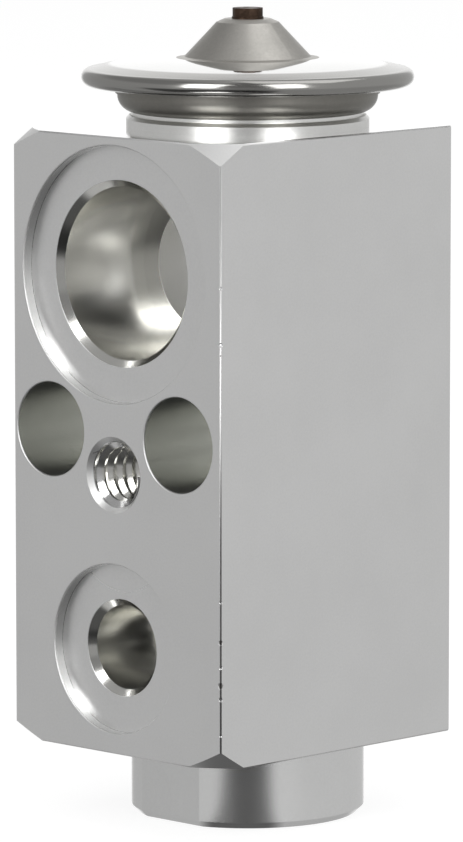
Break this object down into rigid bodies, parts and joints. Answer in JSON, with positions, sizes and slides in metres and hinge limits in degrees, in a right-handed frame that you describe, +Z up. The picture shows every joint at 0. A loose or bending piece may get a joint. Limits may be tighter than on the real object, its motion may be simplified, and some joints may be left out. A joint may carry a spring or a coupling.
{
  "type": "thermostatic expansion valve",
  "caption": "Block-type thermostatic expansion valve: aluminium block with gas and liquid ports, bolt holes, a bright round power head on top and an adjuster boss below.",
  "frame": {"origin": "on the surface that the boss stands on, under the middle of the valve's outline box", "axes": "+Z up the stem from the boss to the power head; -Y out of the port face; +X to the right of the port face"},
  "size_m": [0.0326, 0.0348, 0.0793],
  "materials": {
    "block_aluminium": "fine milled and tumbled, satin",
    "shaft_aluminium": "turned",
    "polished_cover": "mirror bright stainless steel",
    "polished_steel": "bright turned steel",
    "pressed_steel": "bright pressed sheet",
    "satin_steel": "satin, faintly warm",
    "turned_steel": "turned",
    "spring_steel": "drawn spring steel",
    "ball_steel": "ground and polished",
    "adjuster_brass": "turned",
    "plug_copper": "heat-darkened copper with bright specks",
    "seal_rubber": "matt black"
  },
  "bodies": {
    "housing": {"valve_body": "block_aluminium", "head_gasket": "seal_rubber", "head_collar": "polished_steel", "head_cup": "pressed_steel", "diaphragm": "pressed_steel", "head_cover": "polished_cover", "charge_cone": "satin_steel", "charge_plug": "plug_copper", "rod_seal": "seal_rubber", "seal_backing": "turned_steel", "seal_retainer": "spring_steel", "valve_spring": "spring_steel"},
    "stem": {"thrust_pad": "turned_steel", "sensing_shaft": "shaft_aluminium", "operating_rod": "turned_steel", "valve_ball": "ball_steel", "ball_carrier": "turned_steel", "damper_clip": "spring_steel"},
    "adjuster_stack": {"spring_seat": "turned_steel", "adjuster_o_ring": "seal_rubber"},
    "adjuster": {"adjusting_screw": "adjuster_brass"}
  },
  "joints": [
    {"name": "stem_opening", "type": "slide", "parent": "housing", "child": "stem", "axis": [0, 0, -1], "range_m": [0, 0.0008], "stiffness_N_per_m": 4000, "springref_m": -0.002, "deforming": ["valve_spring"]},
    {"name": "adjuster_advance", "type": "slide", "parent": "housing", "child": "adjuster_stack", "axis": [0, 0, 1], "range_m": [-0.0015, 0.0008], "deforming": ["valve_spring"]},
    {"name": "adjuster_turn", "type": "hinge", "parent": "adjuster_stack", "child": "adjuster", "pos_m": [0, 0.00112, 0.002], "axis": [0, 0, 1], "range_deg": [-541, 289]}
  ],
  "couplings": [
    {"joint": "adjuster_turn", "follows": "adjuster_advance", "rad_per_m": 6283.2}
  ]
}
